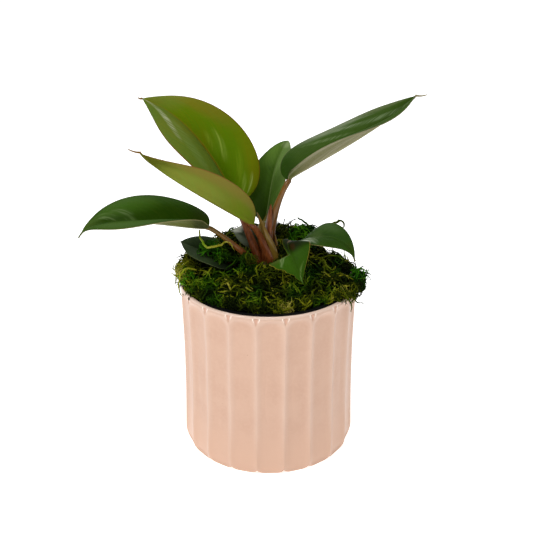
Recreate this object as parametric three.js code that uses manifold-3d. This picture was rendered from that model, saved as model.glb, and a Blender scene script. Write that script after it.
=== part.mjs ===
// Potted red congo philodendron: a young plant in a black nursery pot, set inside a fluted
// ceramic planter and dressed with sheet moss.
// Millimetres, +Z up, origin at the centre of the planter's underside. The plant's show side
// faces -Y, with +X to the right.

import * as THREE from 'three';
import { mergeVertices } from 'three/addons/utils/BufferGeometryUtils.js';
import Module from 'manifold-3d';

const wasm = await Module();
wasm.setup();

const GAP = 0.3;
const SEAT = 0.5;

// Planter: thrown cylinder with a slight waist, scooped panels all round
const PLANTER_RADIUS = 63.5;
const PLANTER_HEIGHT = 127.5;
const PLANTER_WALL = 3.3;
const PLANTER_FLOOR = 5;
const WAIST = 1.3;
const FOOT_ROUND = 5.5;
const LIP_ROUND = 1.6;
const PANELS = 20;
const PANEL_TURN = THREE.MathUtils.degToRad(1.5);
const PANEL_LOW = 0.5;
const PANEL_HIGH = 125;
const PANEL_END = 7;
const PANEL_COLUMNS = [-1, -0.86, -0.45, 0, 0.45, 0.86];
const PANEL_ROWS = [0, 1.2, 3, 5.5, 8, 64, 118, 120.5, 122.8, 124.4, 125.6, 126.9, 127.5];
const SCOOP = 1.2;
const NOTCH = 1.5;

// Grow pot: thin black plastic pot standing on the planter's floor
const GROW_POT_RIM = 126.5;
const GROW_POT_RADIUS = 57.2;
const GROW_POT_FOOT_RADIUS = 48;
const GROW_POT_WALL = 1.5;
const GROW_POT_BEAD = 1.6;
const DRAIN_HOLES = 6;
const DRAIN_RADIUS = 4;
const DRAIN_CIRCLE = 32;

// Potting mix
const SOIL_TOP = 121;
const STEM_RADIUS = 8.6;
const STEM_DEPTH = 30;

// Moss: a mat whose top runs from the crown to a low front edge and a high back edge
const MOSS_HOLE = 11;
const MOSS_MIDDLE = 139;
const MOSS_FRONT = 130;
const MOSS_BACK = 147;
const MOSS_TILT = 5;
const MOSS_REACH = 66.5;
const MOSS_LEAN = 2.5;
const MOUND = [-32, 2];
const MOUND_RADIUS = 24;
const MOUND_HEIGHT = 7;
const MOSS_INSIDE = 54.9;
const MOSS_COLUMNS = 56;
const MOSS_RINGS = [18, 26, 34, 42, 50];
const MOSS_ROUGH = 1.4;
const MOSS_STRANDS = 40;
const STRAND_ROOT = 0.85;
const STRAND_TIP = 0.6;

// Leaves
const BLADE = 0.7;
const KEEL = 0.8;
const KEEL_HALF = 1.6;
const THREAD_HALF = 0.5;
const CAMBER = 0.1;
const LEAF_ROWS = 12;
const ROW_SPREAD = 1.25;
const NECK = 5;

const material = (color, roughness) => new THREE.MeshStandardMaterial({ color, roughness, metalness: 0 });
const ceramic = material('#e3bda4', 0.35);
const blackPlastic = material('#17181a', 0.5);
const pottingMix = material('#2d2119', 0.95);
const mossGreen = material('#4d5a1c', 0.95);
const stemRed = material('#8a4433', 0.4);
const brightGreen = material('#6f8c22', 0.35);
const oliveGreen = material('#84852f', 0.45);
const darkGreen = material('#2c4d1e', 0.3);

const group = new THREE.Group();

function place(name, solid, look) {
  const mesh = solid.getMesh();
  const geometry = new THREE.BufferGeometry();
  geometry.setAttribute('position', new THREE.BufferAttribute(new Float32Array(mesh.vertProperties), 3));
  geometry.setIndex(new THREE.BufferAttribute(new Uint32Array(mesh.triVerts), 1));
  geometry.computeVertexNormals();
  const piece = new THREE.Mesh(geometry, look);
  piece.name = name;
  group.add(piece);
}

// A closed geometry as a solid, with the empty triangles on a turning axis left out.
function solidOf(geometry) {
  geometry.deleteAttribute('normal');
  geometry.deleteAttribute('uv');
  const merged = mergeVertices(geometry, 1e-4);
  const corners = merged.index.array;
  const triVerts = [];
  for (let i = 0; i < corners.length; i += 3) {
    const [a, b, c] = corners.slice(i, i + 3);
    if (a !== b && b !== c && c !== a) {
      triVerts.push(a, b, c);
    }
  }
  return new wasm.Manifold(new wasm.Mesh({
    numProp: 3,
    vertProperties: new Float32Array(merged.attributes.position.array),
    triVerts: new Uint32Array(triVerts),
  }));
}

// A solid turned about the Z axis from [radius, height] points that start and end on it,
// listed from the underside outwards.
function turned(profile, sides) {
  const geometry = new THREE.LatheGeometry(profile.map(([r, z]) => new THREE.Vector2(r, z)), sides);
  geometry.rotateX(Math.PI / 2);
  return solidOf(geometry);
}

// A solid skinned over a stack of rings. A ring runs anticlockwise seen from the stack's end.
// The ends are fanned shut, or meet each other on a loop. Past the turn of a ring its quads
// split the other way, so the two faces of a blade split alike.
function skinned(rings, { loop = false, turn = Infinity } = {}) {
  const around = rings[0].length;
  const points = rings.flat();
  const index = [];
  rings.forEach((ring, k) => {
    if (!loop && k === rings.length - 1) {
      return;
    }
    const next = (k + 1) % rings.length;
    for (let j = 0; j < around; j += 1) {
      const beside = (j + 1) % around;
      const a = k * around + j;
      const b = k * around + beside;
      const c = next * around + beside;
      const d = next * around + j;
      index.push(...(j < turn ? [a, b, c, a, c, d] : [a, b, d, b, c, d]));
    }
  });
  if (!loop) {
    const first = points.length;
    const last = first + 1;
    const start = (rings.length - 1) * around;
    points.push(middle(rings[0]), middle(rings.at(-1)));
    for (let j = 0; j < around; j += 1) {
      const beside = (j + 1) % around;
      index.push(first, beside, j, last, start + j, start + beside);
    }
  }
  const geometry = new THREE.BufferGeometry().setFromPoints(points);
  geometry.setIndex(index);
  return solidOf(geometry);
}

function middle(ring) {
  const sum = new THREE.Vector3();
  ring.forEach((point) => sum.add(point));
  return sum.divideScalar(ring.length);
}

// A round stalk along a curve, its radius a function of the way along from 0 to 1.
function stalk(curve, radiusAt, sides, steps, flatten = 1) {
  const { normals, binormals } = curve.computeFrenetFrames(steps);
  const rings = [];
  for (let k = 0; k <= steps; k += 1) {
    const centre = curve.getPointAt(k / steps);
    const radius = radiusAt(k / steps);
    const ring = [];
    for (let j = 0; j < sides; j += 1) {
      const angle = (2 * Math.PI * j) / sides;
      ring.push(centre.clone()
        .addScaledVector(normals[k], radius * Math.cos(angle))
        .addScaledVector(binormals[k], radius * flatten * Math.sin(angle)));
    }
    rings.push(ring);
  }
  return skinned(rings);
}

// Solids fused into one body, with any hollow sealed inside it filled and loose scraps dropped.
function fused(solids, tools = []) {
  const whole = cut(solids.reduce((sum, part) => sum.add(part)), tools);
  return whole.decompose().sort((a, b) => b.volume() - a.volume())[0];
}

const cut = (solid, tools) => tools.reduce((rest, tool) => rest.subtract(tool), solid);
const vec = ([x, y, z]) => new THREE.Vector3(x, y, z);
const mix = THREE.MathUtils.lerp;
const ease = THREE.MathUtils.smoothstep;

// Planter

function planterRadius(z) {
  const waisted = PLANTER_RADIUS - WAIST * Math.sin((Math.PI * z) / PLANTER_HEIGHT);
  const foot = Math.max(0, 1 - z / FOOT_ROUND);
  const lip = Math.max(0, 1 - (PLANTER_HEIGHT - z) / LIP_ROUND);
  const rounding = (radius, near) => radius * (1 - Math.sqrt(1 - near * near));
  return waisted - rounding(FOOT_ROUND, foot) - rounding(LIP_ROUND, lip);
}

// Depth of the wall's surface below its ridges. Each panel is a long round-ended scoop,
// and its rim is the ridge; between the round ends of two panels lies a small notch.
function panelDepth(across, z) {
  const beyond = Math.max(0, PANEL_LOW + PANEL_END - z, z - PANEL_HIGH + PANEL_END) / PANEL_END;
  const inside = 1 - Math.hypot(across, beyond);
  if (inside < 0) {
    return z > PANEL_HIGH ? 0 : NOTCH * Math.min(1, -5 * inside);
  }
  return SCOOP * Math.sqrt(Math.min(1, inside / 0.7));
}

function planterOutside() {
  const pitch = (2 * Math.PI) / PANELS;
  const rings = PANEL_ROWS.map((z) => {
    const ring = [];
    for (let panel = 0; panel < PANELS; panel += 1) {
      PANEL_COLUMNS.forEach((across) => {
        const angle = -Math.PI / 2 + PANEL_TURN + pitch * (panel + across / 2);
        const radius = planterRadius(z) - panelDepth(across, z);
        ring.push(new THREE.Vector3(radius * Math.cos(angle), radius * Math.sin(angle), z));
      });
    }
    return ring;
  });
  return skinned(rings);
}

const bore = PLANTER_RADIUS - PLANTER_WALL;
const planterInside = turned([
  [0, PLANTER_FLOOR],
  [bore - 4, PLANTER_FLOOR],
  [bore, PLANTER_FLOOR + 5],
  [bore, PLANTER_HEIGHT - 1],
  [bore + 1, PLANTER_HEIGHT + 1],
  [0, PLANTER_HEIGHT + 1],
], 48);
place('planter', planterOutside().subtract(planterInside), ceramic);

// Grow pot, with round drain holes in its floor

const potFoot = PLANTER_FLOOR + GAP;
const growPotShell = turned([
  [0, potFoot],
  [GROW_POT_FOOT_RADIUS, potFoot],
  [GROW_POT_RADIUS, GROW_POT_RIM - 5],
  [GROW_POT_RADIUS + GROW_POT_BEAD, GROW_POT_RIM - 4],
  [GROW_POT_RADIUS + GROW_POT_BEAD, GROW_POT_RIM],
  [GROW_POT_RADIUS - GROW_POT_WALL, GROW_POT_RIM],
  [GROW_POT_FOOT_RADIUS - GROW_POT_WALL, potFoot + GROW_POT_WALL],
  [0, potFoot + GROW_POT_WALL],
], 48);
const drains = [];
for (let i = 0; i < DRAIN_HOLES; i += 1) {
  const drain = new THREE.CylinderGeometry(DRAIN_RADIUS, DRAIN_RADIUS, 4 * GROW_POT_WALL, 12);
  drain.rotateX(Math.PI / 2);
  const angle = (2 * Math.PI * i) / DRAIN_HOLES;
  drain.translate(DRAIN_CIRCLE * Math.cos(angle), DRAIN_CIRCLE * Math.sin(angle), potFoot);
  drains.push(solidOf(drain));
}
place('grow_pot', cut(growPotShell, drains), blackPlastic);

// Potting mix, with a plain hole for the buried end of the stem

const potInside = (z) => {
  const up = (z - potFoot - GROW_POT_WALL) / (GROW_POT_RIM - potFoot - GROW_POT_WALL);
  return mix(GROW_POT_FOOT_RADIUS, GROW_POT_RADIUS, up) - GROW_POT_WALL;
};
const soilFoot = potFoot + GROW_POT_WALL + GAP;
const stemHole = STEM_RADIUS + GAP;
place('soil', turned([
  [0, soilFoot],
  [potInside(soilFoot) - GAP, soilFoot],
  [potInside(SOIL_TOP) - GAP, SOIL_TOP],
  [stemHole, SOIL_TOP],
  [stemHole, SOIL_TOP - STEM_DEPTH],
  [0, SOIL_TOP - STEM_DEPTH],
], 48), pottingMix);

// Leaves. Each blade is laid along a midrib curve from base to tip. Its face lists the way its
// upper side looks at the base, the middle and the tip, and its fold how far, in degrees, each
// half is lifted about the midrib there; a young blade may be folded further on its far half.
// Its outline gives where it is widest and how full its base and tip are. The petiole leans out
// of a root on the crown and meets the base straight on, or along a neck of its own.

const leaves = [
  {
    name: 'leaf_tall_left', look: brightGreen, half: 30,
    rib: [[-22, 12, 179.5], [-28.5, 14, 193.5], [-48.5, 11, 246], [-86, 12, 257]],
    face: [[0.44, -0.75, 0.49], [0.51, -0.63, 0.58], [-0.11, -0.68, 0.73]],
    fold: [28, 25, -30], outline: [0.81, 0.69, 0.85],
    root: [-6.5, 0, 136], lean: [-5, 1, 14], stalk: [3.4, 2.4],
  },
  {
    name: 'leaf_front_left', look: oliveGreen, half: 19,
    rib: [[-10.5, -10.5, 172.5], [-27.5, -32, 193.5], [-74.5, -41.5, 223], [-81.5, -46, 237.5]],
    face: [[-0.51, 0.25, 0.82], [0.03, 0.49, 0.87], [-0.22, 0.51, 0.83]],
    fold: [45, 42, 14], farFold: [66, 68, 28],
    outline: [0.73, 0.71, 1.3], thread: [-89.5, -47, 240],
    root: [-1, -3, 136], lean: [-2, -1, 14], stalk: [4.2, 2.9],
  },
  {
    name: 'leaf_low_left', look: darkGreen, half: 23,
    rib: [[-41, -14, 173.5], [-56.5, -11, 170], [-120, -18, 190], [-128.5, -34, 173.5]],
    face: [[0.1, 0.16, 0.98], [0.05, -0.17, 0.98], [-0.53, -0.61, 0.59]],
    fold: [32, 25, -10], outline: [0.78, 0.51, 1.95],
    root: [-6, -4, 138], lean: [-9, -2, 10], neck: [6, 1, -3], stalk: [2.6, 1.7],
  },
  {
    name: 'leaf_back', look: darkGreen, half: 18.5,
    rib: [[-3, 10, 166.5], [2.5, 17, 179.5], [1, 25, 207], [14.5, 42, 217.5]],
    face: [[-0.61, -0.74, 0.3], [-0.65, -0.69, 0.32], [-0.48, -0.81, 0.34]],
    fold: [33, 20, 6], outline: [0.82, 0.72, 0.72],
    root: [-1, 4, 136], lean: [-1, 2, 14], stalk: [3.2, 1.9],
  },
  {
    name: 'leaf_tall_right', look: darkGreen, half: 24.5,
    rib: [[13.5, 2, 202], [20, 12, 205], [79.5, 3.5, 238], [100, 12, 259]],
    face: [[-0.77, -0.2, 0.61], [0.24, 0.1, 0.97], [-0.6, -0.36, 0.72]],
    fold: [44, 30, 25], outline: [0.76, 0.77, 0.99], thread: [108, 12, 259.5],
    root: [1, 1, 136], lean: [1, 0, 22], stalk: [4, 1.8],
  },
  {
    name: 'leaf_low_right', look: darkGreen, half: 13,
    rib: [[20.5, 6, 150.5], [30.5, -8.5, 168], [56, -14.5, 170.5], [61, -18, 148.5]],
    face: [[0.22, -0.19, 0.96], [0.38, -0.45, 0.75], [0.7, -0.57, 0.43]],
    fold: [11, 6, -1], outline: [0.8, 0.7, 1.31],
    root: [4, 2, 138], lean: [5, 1, 8], stalk: [2.2, 1.4],
  },
  {
    name: 'leaf_front_small', look: darkGreen, half: 15.5,
    rib: [[15.5, -8, 157], [9.5, -20.5, 161], [16.5, -31.5, 158], [24, -36, 139.5]],
    face: [[-0.03, -0.36, 0.93], [-0.07, -0.69, 0.63], [0.08, -0.97, 0.24]],
    fold: [7, 2, -1], outline: [0.8, 0.7, 1.34],
    root: [4, -2, 138], lean: [7, -2, 9], stalk: [2.2, 1.4],
  },
  {
    name: 'leaf_moss_left', look: darkGreen, half: 13.5,
    rib: [[-25, -3, 139.5], [-35, -4, 144.5], [-56.5, 1, 154.5], [-63, 4, 154.5]],
    face: [[-0.1, -0.49, 0.86], [-0.26, -0.22, 0.94], [-0.11, -0.67, 0.73]],
    fold: [10, 12, 0], outline: [0.8, 0.65, 1.26],
    root: [-5, -3, 134], lean: [-7, 0, 3], stalk: [2, 1.3],
  },
  {
    name: 'leaf_moss_back', look: darkGreen, half: 12,
    rib: [[-4.5, 13.5, 149.5], [-7.5, 14.5, 149.5], [-18.5, 18, 159], [-27.5, 26, 153.5]],
    face: [[0.03, -0.44, 0.9], [0.07, -0.43, 0.9], [0.1, -0.41, 0.91]],
    fold: [8, 11, 12], outline: [0.79, 0.7, 1.3],
    root: [-2, 4, 136], lean: [-1, 3, 6], stalk: [2, 1.3],
  },
];

// The smooth curve through three values, given at the blade's base, middle and tip.
const along = ([base, middling, tip], t) => (
  base * (1 - t) * (1 - 2 * t) + middling * 4 * t * (1 - t) + tip * t * (2 * t - 1)
);

// Where the midrib is, and how the blade stands about it, at one station from 0 to 1.
// Beyond that, from 1 to 2, runs the thread that some tips are drawn out to.
function bladeFrame(leaf, station) {
  const t = Math.min(Math.max(station, 0.0001), 0.9999);
  const beyond = Math.max(0, station - 1);
  const rib = new THREE.CubicBezierCurve3(...leaf.rib.map(vec));
  const centre = rib.getPoint(t);
  const forward = rib.getTangent(t);
  if (beyond > 0) {
    forward.subVectors(vec(leaf.thread), rib.v3).normalize();
    centre.lerp(vec(leaf.thread), beyond);
  }
  const up = new THREE.Vector3(...[0, 1, 2].map((i) => along(leaf.face.map((face) => face[i]), t)));
  up.addScaledVector(forward, -up.dot(forward)).normalize();
  const side = new THREE.Vector3().crossVectors(forward, up);
  const [widest, base, tip] = leaf.outline;
  const half = leaf.half * Math.sin(Math.PI * t ** widest) ** mix(base, tip, t);
  const lift = THREE.MathUtils.degToRad(along(leaf.fold, t));
  const farLift = THREE.MathUtils.degToRad(along(leaf.farFold ?? leaf.fold, t));
  const keelHalf = mix(KEEL_HALF, THREAD_HALF, t) * (1 - 0.4 * beyond);
  return { centre, forward, up, side, half, lift, farLift, keelHalf };
}

// The blade as a thin solid with a keel under its midrib. A margin over zero swells it all
// round, to make the room that a neighbour leaves for it.
function bladeSolid(leaf, margin = 0) {
  const stations = [...Array(LEAF_ROWS + 1).keys()].map((k) => (k / LEAF_ROWS) ** ROW_SPREAD);
  if (leaf.thread) {
    stations.push(1.5, 2);
  }
  const rings = stations.map((station) => {
    const { centre, forward, up, side, half, lift, farLift, keelHalf } = bladeFrame(leaf, station);
    if (station === 0) {
      centre.addScaledVector(forward, -margin);
    }
    if (station === stations.at(-1)) {
      centre.addScaledVector(forward, margin);
    }
    const wide = Math.max(half, keelHalf * 1.2) + margin;
    const keel = keelHalf / wide;
    const columns = [-1, -0.7, -0.4].map((v) => Math.min(v, -keel * 1.1)).concat([-keel, 0]);
    const across = columns.concat(columns.slice(0, -1).reverse().map((v) => -v));
    const top = [];
    const under = [];
    across.forEach((v) => {
      const out = Math.abs(v);
      const raise = v > 0 ? farLift : lift;
      const slope = Math.sin(raise) + 4 * CAMBER * (1 - 2 * out);
      const outward = up.clone().multiplyScalar(Math.cos(raise));
      outward.addScaledVector(side, -Math.sign(v) * slope).normalize();
      const point = centre.clone()
        .addScaledVector(side, v * wide * Math.cos(raise))
        .addScaledVector(up, out * wide * (Math.sin(raise) + 4 * CAMBER * (1 - out)));
      const depth = BLADE + (out < keel ? KEEL * Math.max(0, 1 - station) : 0);
      top.push(point.clone().addScaledVector(outward, margin));
      under.push(point.clone().addScaledVector(outward, -depth - margin));
    });
    return [...top, ...under.reverse()];
  });
  return skinned(rings, { turn: rings[0].length / 2 });
}

leaves.forEach((leaf) => place(leaf.name, bladeSolid(leaf), leaf.look));

// Crown: the short stem, its petioles and the pointed sheaths that wrapped young leaves

// A petiole that meets its blade on a slant stops a little shorter, so its end's rim clears it.
function petiole(leaf, margin = 0) {
  const [thick, thin] = leaf.stalk;
  const { centre, forward, up } = bladeFrame(leaf, 0);
  const neck = leaf.neck ? vec(leaf.neck) : forward.clone().multiplyScalar(-NECK);
  const short = SEAT + thin * Math.sin(neck.angleTo(forward));
  const end = centre.addScaledVector(forward, margin - short).addScaledVector(up, -BLADE);
  const root = vec(leaf.root);
  const knee = root.clone().add(vec(leaf.lean));
  const curve = new THREE.CubicBezierCurve3(root, knee, end.clone().add(neck), end);
  return stalk(curve, (t) => mix(thick, thin, ease(t, 0, 0.7)) + margin, 7, 6);
}

const stemLow = SOIL_TOP - STEM_DEPTH + GAP;
const stem = turned([
  [0, stemLow],
  [STEM_RADIUS - 1, stemLow],
  [STEM_RADIUS, stemLow + 4],
  [STEM_RADIUS, SOIL_TOP + 6],
  [STEM_RADIUS - 1.4, MOSS_MIDDLE],
  [0, MOSS_MIDDLE + 4],
], 16);

const sheaths = [
  { path: [[1.5, -3, 141], [-2, -4.5, 158], [-1, -3.5, 172], [1.5, -1.5, 185]], wide: 2.6 },
  { path: [[4, -5, 140], [2.5, -8.5, 154], [-4, -7, 166], [-9, -1, 179]], wide: 1.8 },
  { path: [[7, -2, 138], [6.5, -3, 147], [4.5, -2, 155], [4, 0, 163]], wide: 2 },
];
const sheathSolids = sheaths.map(({ path, wide }) => {
  const curve = new THREE.CatmullRomCurve3(path.map(vec));
  return stalk(curve, (t) => mix(wide, 0.5, t ** 1.5), 6, 6, 0.6);
});
place('crown', fused([stem, ...leaves.map((leaf) => petiole(leaf)), ...sheathSolids]), stemRed);

// Moss: one springy mat laid round the crown. In front it stays inside the grow pot's rim;
// at the sides and back it stands higher and bulges over the planter.

let seed = 7;
function random() {
  seed = (seed * 16807) % 2147483647;
  return seed / 2147483647;
}

const polar = (angle, radius, z) => (
  new THREE.Vector3(radius * Math.cos(angle), radius * Math.sin(angle), z)
);

// How far the mat's edge has risen over the rim: 0 in front, 1 at the sides and back.
const overRim = (angle) => ease(Math.sin(angle), -0.78, -0.45);
const mossReach = (angle) => MOSS_REACH + MOSS_LEAN * Math.cos(angle);

function mossTop(angle, radius) {
  const rearward = ease(Math.sin(angle), -0.8, 0.8);
  const edge = mix(MOSS_FRONT, MOSS_BACK + MOSS_TILT * Math.cos(angle), rearward);
  const x = radius * Math.cos(angle);
  const y = radius * Math.sin(angle);
  const lumps = 1.6 * Math.sin(x / 5.2 + 1) * Math.sin(y / 6.1) + 0.9 * Math.sin(x / 2.9 - y / 3.7);
  const mound = MOUND_HEIGHT * ease(MOUND_RADIUS - Math.hypot(x - MOUND[0], y - MOUND[1]), 0, MOUND_RADIUS);
  return mix(MOSS_MIDDLE, edge, ease(radius, 16, 50)) + lumps + mound;
}

function mossMat() {
  const sections = [];
  for (let i = 0; i < MOSS_COLUMNS; i += 1) {
    const angle = (2 * Math.PI * i) / MOSS_COLUMNS;
    const bulge = overRim(angle);
    const reach = mix(MOSS_INSIDE, mossReach(angle) + random() - 0.5, bulge);
    const rest = mix(SOIL_TOP + 3, PLANTER_HEIGHT + SEAT, bulge);
    const shoulder = mossTop(angle, reach - 5);
    const section = [
      [MOSS_HOLE, MOSS_MIDDLE - 2],
      ...MOSS_RINGS.map((r) => [r, mossTop(angle, r) + MOSS_ROUGH * (random() - 0.5)]),
      [reach - 2.5, mix(rest, shoulder, 0.85)],
      [reach, mix(rest, shoulder, 0.45)],
      [reach - 1, rest],
      [MOSS_INSIDE - 0.5, rest],
      [MOSS_INSIDE - 0.5, SOIL_TOP + GAP],
      [MOSS_HOLE, SOIL_TOP + GAP],
    ];
    sections.push(section.map(([r, z]) => polar(angle, r, z)));
  }
  return skinned(sections, { loop: true });
}

// A strand springs from the mat and arches, then dives back into it or hangs over the rim.
function mossStrand() {
  const angle = 2 * Math.PI * random();
  const radius = mix(20, 58, Math.sqrt(random()));
  const swing = (random() - 0.5) * 0.5;
  const high = 3 + 5 * random();
  const low = 14 * random();
  const from = polar(angle, radius - 6, mossTop(angle, radius - 6) - 3);
  const rise = polar(angle + swing * 0.3, radius, mossTop(angle, radius) + high);
  const path = [from, rise];
  if (radius > 45 && overRim(angle) > 0.9) {
    const out = mossReach(angle) + 1.5;
    path.push(polar(angle + swing * 0.6, out, PLANTER_HEIGHT + 6));
    path.push(polar(angle + swing * 0.7, out, PLANTER_HEIGHT - low));
  } else {
    const back = Math.max(18, radius - 8);
    path.push(polar(angle + swing, back + 2, mossTop(angle + swing, back + 2) + 0.8 * high));
    path.push(polar(angle + swing * 1.6, back, mossTop(angle + swing * 1.6, back) - 3));
  }
  const curve = new THREE.CatmullRomCurve3(path);
  return stalk(curve, (t) => mix(STRAND_ROOT, STRAND_TIP, t), 4, 5);
}

const strands = [];
for (let i = 0; i < MOSS_STRANDS; i += 1) {
  strands.push(mossStrand());
}
const rimsLow = SOIL_TOP - 20;
const rims = turned([
  [MOSS_INSIDE, rimsLow],
  [PLANTER_RADIUS + GAP, rimsLow],
  [PLANTER_RADIUS + GAP, PLANTER_HEIGHT + GAP],
  [MOSS_INSIDE, PLANTER_HEIGHT + GAP],
  [MOSS_INSIDE, rimsLow],
], 48);
const room = [
  rims,
  ...leaves.map((leaf) => bladeSolid(leaf, GAP)),
  ...leaves.map((leaf) => petiole(leaf, GAP)),
];
place('moss', fused([mossMat(), ...strands], room), mossGreen);

export default group;
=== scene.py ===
import random
from math import atan2, cos, exp, hypot, pi, radians, sin, sqrt

import bmesh
import bpy
from mathutils import Matrix, Vector, noise


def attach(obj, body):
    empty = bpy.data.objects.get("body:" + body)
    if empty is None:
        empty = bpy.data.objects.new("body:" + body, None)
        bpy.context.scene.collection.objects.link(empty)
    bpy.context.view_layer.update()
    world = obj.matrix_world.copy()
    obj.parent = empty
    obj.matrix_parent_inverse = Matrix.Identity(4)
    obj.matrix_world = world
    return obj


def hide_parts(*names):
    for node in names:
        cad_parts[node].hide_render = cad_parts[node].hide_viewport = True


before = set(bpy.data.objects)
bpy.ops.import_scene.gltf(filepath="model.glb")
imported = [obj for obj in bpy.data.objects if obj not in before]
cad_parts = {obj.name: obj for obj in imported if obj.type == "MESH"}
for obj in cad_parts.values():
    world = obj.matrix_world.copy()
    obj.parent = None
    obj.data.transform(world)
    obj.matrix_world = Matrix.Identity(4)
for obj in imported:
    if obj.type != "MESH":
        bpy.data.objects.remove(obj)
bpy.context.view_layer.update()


# Studio: a pale sweep of floor under wide soft lights, brightest from the upper left, and a
# camera a little above the leaves that looks down into the planter's rim.
FLOOR_SIZE = 8
CAMERA_PLACE = (-0.0013, -0.6916, 0.4517)
CAMERA_TILT = radians(65.5)
LENS = 71.46
AIM = Vector((0, 0, 0.13))
WORLD_LIGHT = 0.4
FLOOR_GLOW = 0.56
LIGHTS = [
    ("key", (-0.95, -0.8, 1.15), (0.7, 0.7), 9.2),
    ("strip", (0.1, -0.7, 1.3), (1.8, 0.1), 7.0),
    ("fill", (1.3, -0.8, 0.7), (0.22, 0.22), 1.2),
    ("top", (-0.2, 0.6, 1.25), (0.9, 0.9), 9.0),
]
scene = bpy.context.scene
scene.view_settings.view_transform = "Standard"
world = bpy.data.worlds.new("studio")
world.use_nodes = True
world.node_tree.nodes["Background"].inputs["Color"].default_value = (1, 1, 1, 1)
world.node_tree.nodes["Background"].inputs["Strength"].default_value = WORLD_LIGHT
scene.world = world
camera = bpy.data.objects.new("camera", bpy.data.cameras.new("camera"))
camera.data.lens = LENS
camera.location = CAMERA_PLACE
camera.rotation_euler = (CAMERA_TILT, 0, 0)
scene.collection.objects.link(camera)
scene.camera = camera
for name, place, (wide, deep), power in LIGHTS:
    lamp = bpy.data.lights.new(name, "AREA")
    lamp.shape = "RECTANGLE"
    lamp.size = wide
    lamp.size_y = deep
    lamp.energy = power
    light = bpy.data.objects.new(name, lamp)
    light.location = place
    light.rotation_euler = (AIM - light.location).to_track_quat("-Z", "Y").to_euler()
    scene.collection.objects.link(light)


class Tone:
    """One socket of a finish, so that a pattern on the plant or pot reads as arithmetic."""

    def __init__(self, finish, socket):
        self.finish = finish
        self.socket = socket

    def __add__(self, other):
        return self.finish.maths("ADD", self, other)

    def __sub__(self, other):
        return self.finish.maths("SUBTRACT", self, other)

    def __rsub__(self, other):
        return self.finish.maths("SUBTRACT", other, self)

    def __mul__(self, other):
        return self.finish.maths("MULTIPLY", self, other)

    def __pow__(self, other):
        return self.finish.maths("POWER", self, other)

    __radd__ = __add__
    __rmul__ = __mul__


class Finish:
    """A material of the studio, the pot or the plant, built of nodes."""

    def __init__(self, name, **surface):
        self.material = bpy.data.materials.new(name)
        self.material.use_nodes = True
        self.tree = self.material.node_tree
        self.shader = self.tree.nodes["Principled BSDF"]
        for socket, value in surface.items():
            self.shader.inputs[socket.replace("_", " ")].default_value = value

    def node(self, kind, settings, sockets, output=0):
        made = self.tree.nodes.new("ShaderNode" + kind)
        for key, value in settings.items():
            if key == "stops":
                for i, (place, colour) in enumerate(value):
                    ramp = made.color_ramp.elements
                    stop = ramp[i] if i < 2 else ramp.new(place)
                    stop.position = place
                    stop.color = (*colour, 1)
            else:
                setattr(made, key, value)
        for key, value in sockets.items():
            self.feed(made.inputs[key], value)
        return Tone(self, made.outputs[output])

    def feed(self, socket, value):
        if isinstance(value, Tone):
            self.tree.links.new(value.socket, socket)
        elif socket.type == "RGBA":
            socket.default_value = (*value, 1)
        else:
            socket.default_value = value

    def maths(self, operation, *values):
        return self.node("Math", {"operation": operation}, dict(enumerate(values)))

    def place(self):
        return self.node("TexCoord", {}, {}, "Object")

    def mottle(self, scale, detail=2.0, where=None):
        return self.node("TexNoise", {}, {
            "Vector": where or self.place(), "Scale": scale, "Detail": detail,
        })

    def rise(self, value, low, high):
        return self.node("MapRange", {"interpolation_type": "SMOOTHSTEP"}, {
            "Value": value, "From Min": low, "From Max": high,
        })

    def blend(self, factor, one, other):
        settings = {"data_type": "RGBA", "clamp_factor": True}
        return self.node("Mix", settings, {0: factor, 6: one, 7: other}, 2)

    def relief(self, height, depth, strength=1.0):
        self.coat("Normal", self.node("Bump", {}, {
            "Height": height, "Distance": depth, "Strength": strength,
        }))

    def coat(self, socket, value):
        self.feed(self.shader.inputs[socket], value)


def paint(red, green, blue):
    """A colour given 0 to 255, as the linear light that a material wants."""
    return tuple((c / 255 / 12.92 if c < 11 else ((c / 255 + 0.055) / 1.055) ** 2.4)
                 for c in (red, green, blue))


def finished(bm, name, materials):
    """A shape drawn in millimetres becomes an object in metres."""
    bmesh.ops.scale(bm, vec=(0.001,) * 3, verts=bm.verts)
    mesh = bpy.data.meshes.new(name)
    bm.to_mesh(mesh)
    bm.free()
    mesh.shade_smooth()
    for material in materials:
        mesh.materials.append(material.material)
    piece = bpy.data.objects.new(name, mesh)
    scene.collection.objects.link(piece)
    return piece


def dress(bm, name, materials, stands_for=()):
    """A finished piece of the potted plant and solids it stands for."""
    piece = finished(bm, name, materials)
    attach(piece, "root")
    if stands_for:
        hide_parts(*stands_for)
    return piece


backdrop = Finish(
    "backdrop", Roughness=0.9, Emission_Color=(1, 1, 1, 1), Emission_Strength=FLOOR_GLOW,
)
colour = backdrop.blend(backdrop.mottle(3), paint(248, 248, 248), paint(252, 252, 252))
backdrop.coat("Base Color", colour)
bm = bmesh.new()
bmesh.ops.create_grid(bm, x_segments=1, y_segments=1, size=FLOOR_SIZE * 1000 / 2)
finished(bm, "floor", [backdrop])
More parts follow.
